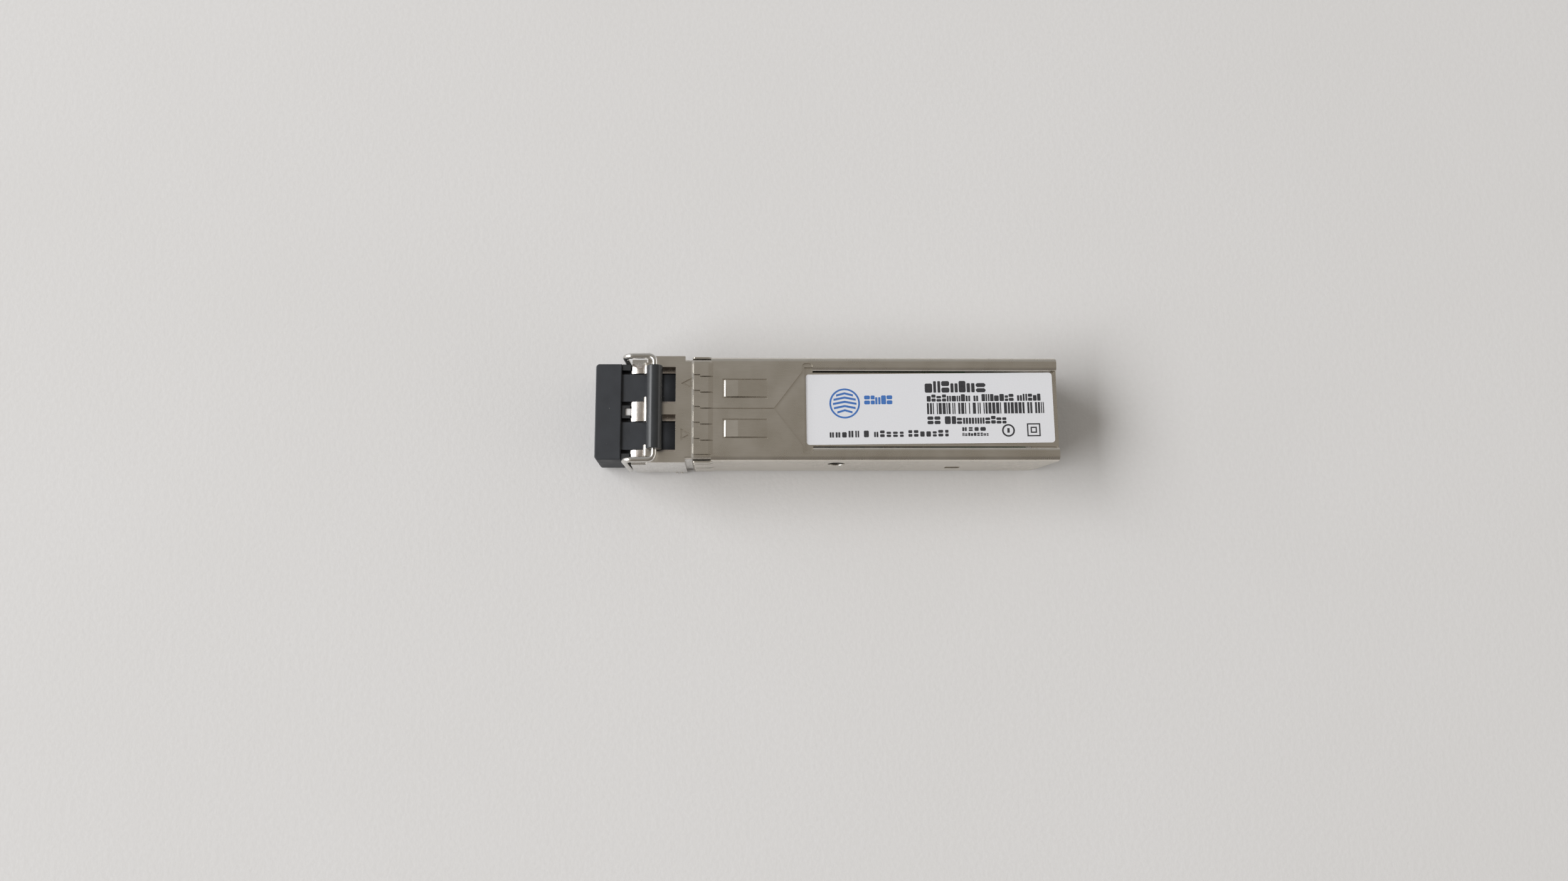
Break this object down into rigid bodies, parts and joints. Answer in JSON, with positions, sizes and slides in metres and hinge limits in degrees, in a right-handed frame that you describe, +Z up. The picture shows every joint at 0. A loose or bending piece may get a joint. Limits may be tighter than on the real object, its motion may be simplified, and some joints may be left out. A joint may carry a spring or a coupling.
{
  "type": "optical transceiver module",
  "caption": "Small pluggable duplex optical transceiver: sheet-metal shell on a cast chassis, two fibre ports with a dust plug, wire bail with latch lever, rear card edge.",
  "frame": {"origin": "centre of the bounding box's footprint, on the surface that the module stands on", "axes": "+Y from the nose towards the rear card edge, along the module; +X towards the receive port; +Z up, from the latch side to the label side"},
  "size_m": [0.014, 0.059, 0.0107],
  "materials": {
    "shell_metal": "satin nickel plate",
    "cast_metal": "satin die-cast zinc",
    "black_plastic": "moulded black",
    "bright_wire": "bright spring wire",
    "sleeve_rubber": "satin black",
    "optics_metal": "turned",
    "ceramic": "polished zirconia",
    "gold": "gold plate",
    "board_green": "solder mask",
    "chip_black": "moulded",
    "component_tan": "ceramic",
    "plug_rubber": "matt black",
    "label_paper": "matt white film"
  },
  "bodies": {
    "module": {"emi_shell": "shell_metal", "top_cover": "shell_metal", "lc_port_plate": "cast_metal", "chassis": "cast_metal", "lc_receptacle": "black_plastic", "latch_pin": "bright_wire", "latch_spring": "bright_wire", "tosa_barrel": "optics_metal", "rosa_barrel": "optics_metal", "tosa_ceramic_sleeve": "ceramic", "rosa_ceramic_sleeve": "ceramic", "tosa_can": "optics_metal", "rosa_can": "optics_metal", "tosa_leads": "gold", "rosa_leads": "gold", "osa_clamp": "black_plastic", "pcb": "board_green", "edge_contacts": "gold", "laser_driver_chip": "chip_black", "receiver_amp_chip": "chip_black", "memory_chip": "chip_black", "chip_components": "component_tan", "product_label": "label_paper"},
    "bail": {"bail_wire": "bright_wire", "bail_sleeve": "sleeve_rubber"},
    "latch": {"latch_lever": "cast_metal"},
    "plug": {"dust_plug": "plug_rubber"}
  },
  "joints": [
    {"name": "bail_swing", "type": "hinge", "parent": "module", "child": "bail", "pos_m": [0, -0.0253, 0.0014], "axis": [1, 0, 0], "range_deg": [0, 90]},
    {"name": "latch_rock", "type": "hinge", "parent": "module", "child": "latch", "pos_m": [0, -0.0215, 0.00115], "axis": [1, 0, 0], "range_deg": [0, 5.5], "deforming": ["latch_spring"]},
    {"name": "dust_plug_pull", "type": "slide", "parent": "module", "child": "plug", "axis": [0, -1, 0], "range_m": [0, 0.018]}
  ],
  "couplings": [
    {"joint": "latch_rock", "follows": "bail_swing", "ratio": 0.0592}
  ]
}
